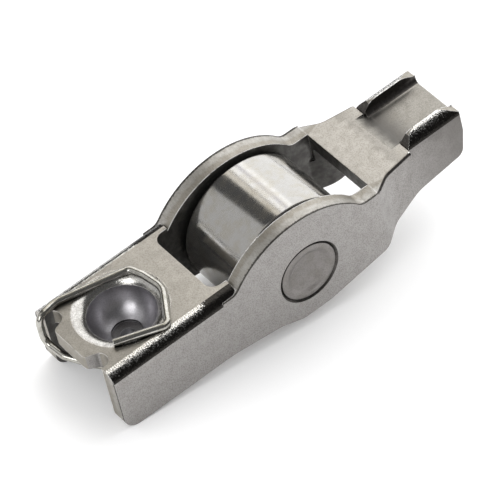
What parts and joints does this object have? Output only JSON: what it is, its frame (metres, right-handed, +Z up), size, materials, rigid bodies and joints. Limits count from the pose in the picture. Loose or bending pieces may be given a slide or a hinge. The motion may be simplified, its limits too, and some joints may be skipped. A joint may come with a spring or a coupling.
{
  "type": "roller finger follower rocker arm",
  "caption": "Pressed-steel rocker arm with a ball socket, a needle-bearing cam roller, a valve pad between guide ears and a wire clip.",
  "frame": {"origin": "centre of the ball socket at the pivot end, where the head of the lash adjuster sits", "axes": "+X towards the valve end, +Y across the arm along the roller's axle, +Z up off the surface that the loose arm rests on"},
  "size_m": [0.0566, 0.0162, 0.0182],
  "materials": {
    "pressed_steel": "satin case-hardened press work",
    "pin_steel": "turned and hardened",
    "ground_steel": "ground",
    "needle_steel": "lapped",
    "spring_wire": "drawn wire"
  },
  "bodies": {
    "arm": {"arm_body": "pressed_steel", "axle_pin": "pin_steel", "retaining_clip": "spring_wire"},
    "roller": {"cam_roller": "ground_steel"},
    "needles": {"needle_01": "needle_steel", "needle_02": "needle_steel", "needle_03": "needle_steel", "needle_04": "needle_steel", "needle_05": "needle_steel", "needle_06": "needle_steel", "needle_07": "needle_steel", "needle_08": "needle_steel", "needle_09": "needle_steel", "needle_10": "needle_steel", "needle_11": "needle_steel", "needle_12": "needle_steel", "needle_13": "needle_steel", "needle_14": "needle_steel", "needle_15": "needle_steel", "needle_16": "needle_steel", "needle_17": "needle_steel", "needle_18": "needle_steel", "needle_19": "needle_steel", "needle_20": "needle_steel"}
  },
  "joints": [
    {"name": "roller_spin", "type": "hinge", "parent": "arm", "child": "roller", "pos_m": [0.02209, 0, -0.00131], "axis": [0, 1, 0], "continuous": true},
    {"name": "needle_orbit", "type": "hinge", "parent": "arm", "child": "needles", "pos_m": [0.02209, 0, -0.00131], "axis": [0, 1, 0], "continuous": true}
  ],
  "couplings": [
    {"joint": "needle_orbit", "follows": "roller_spin", "ratio": 0.57819}
  ]
}
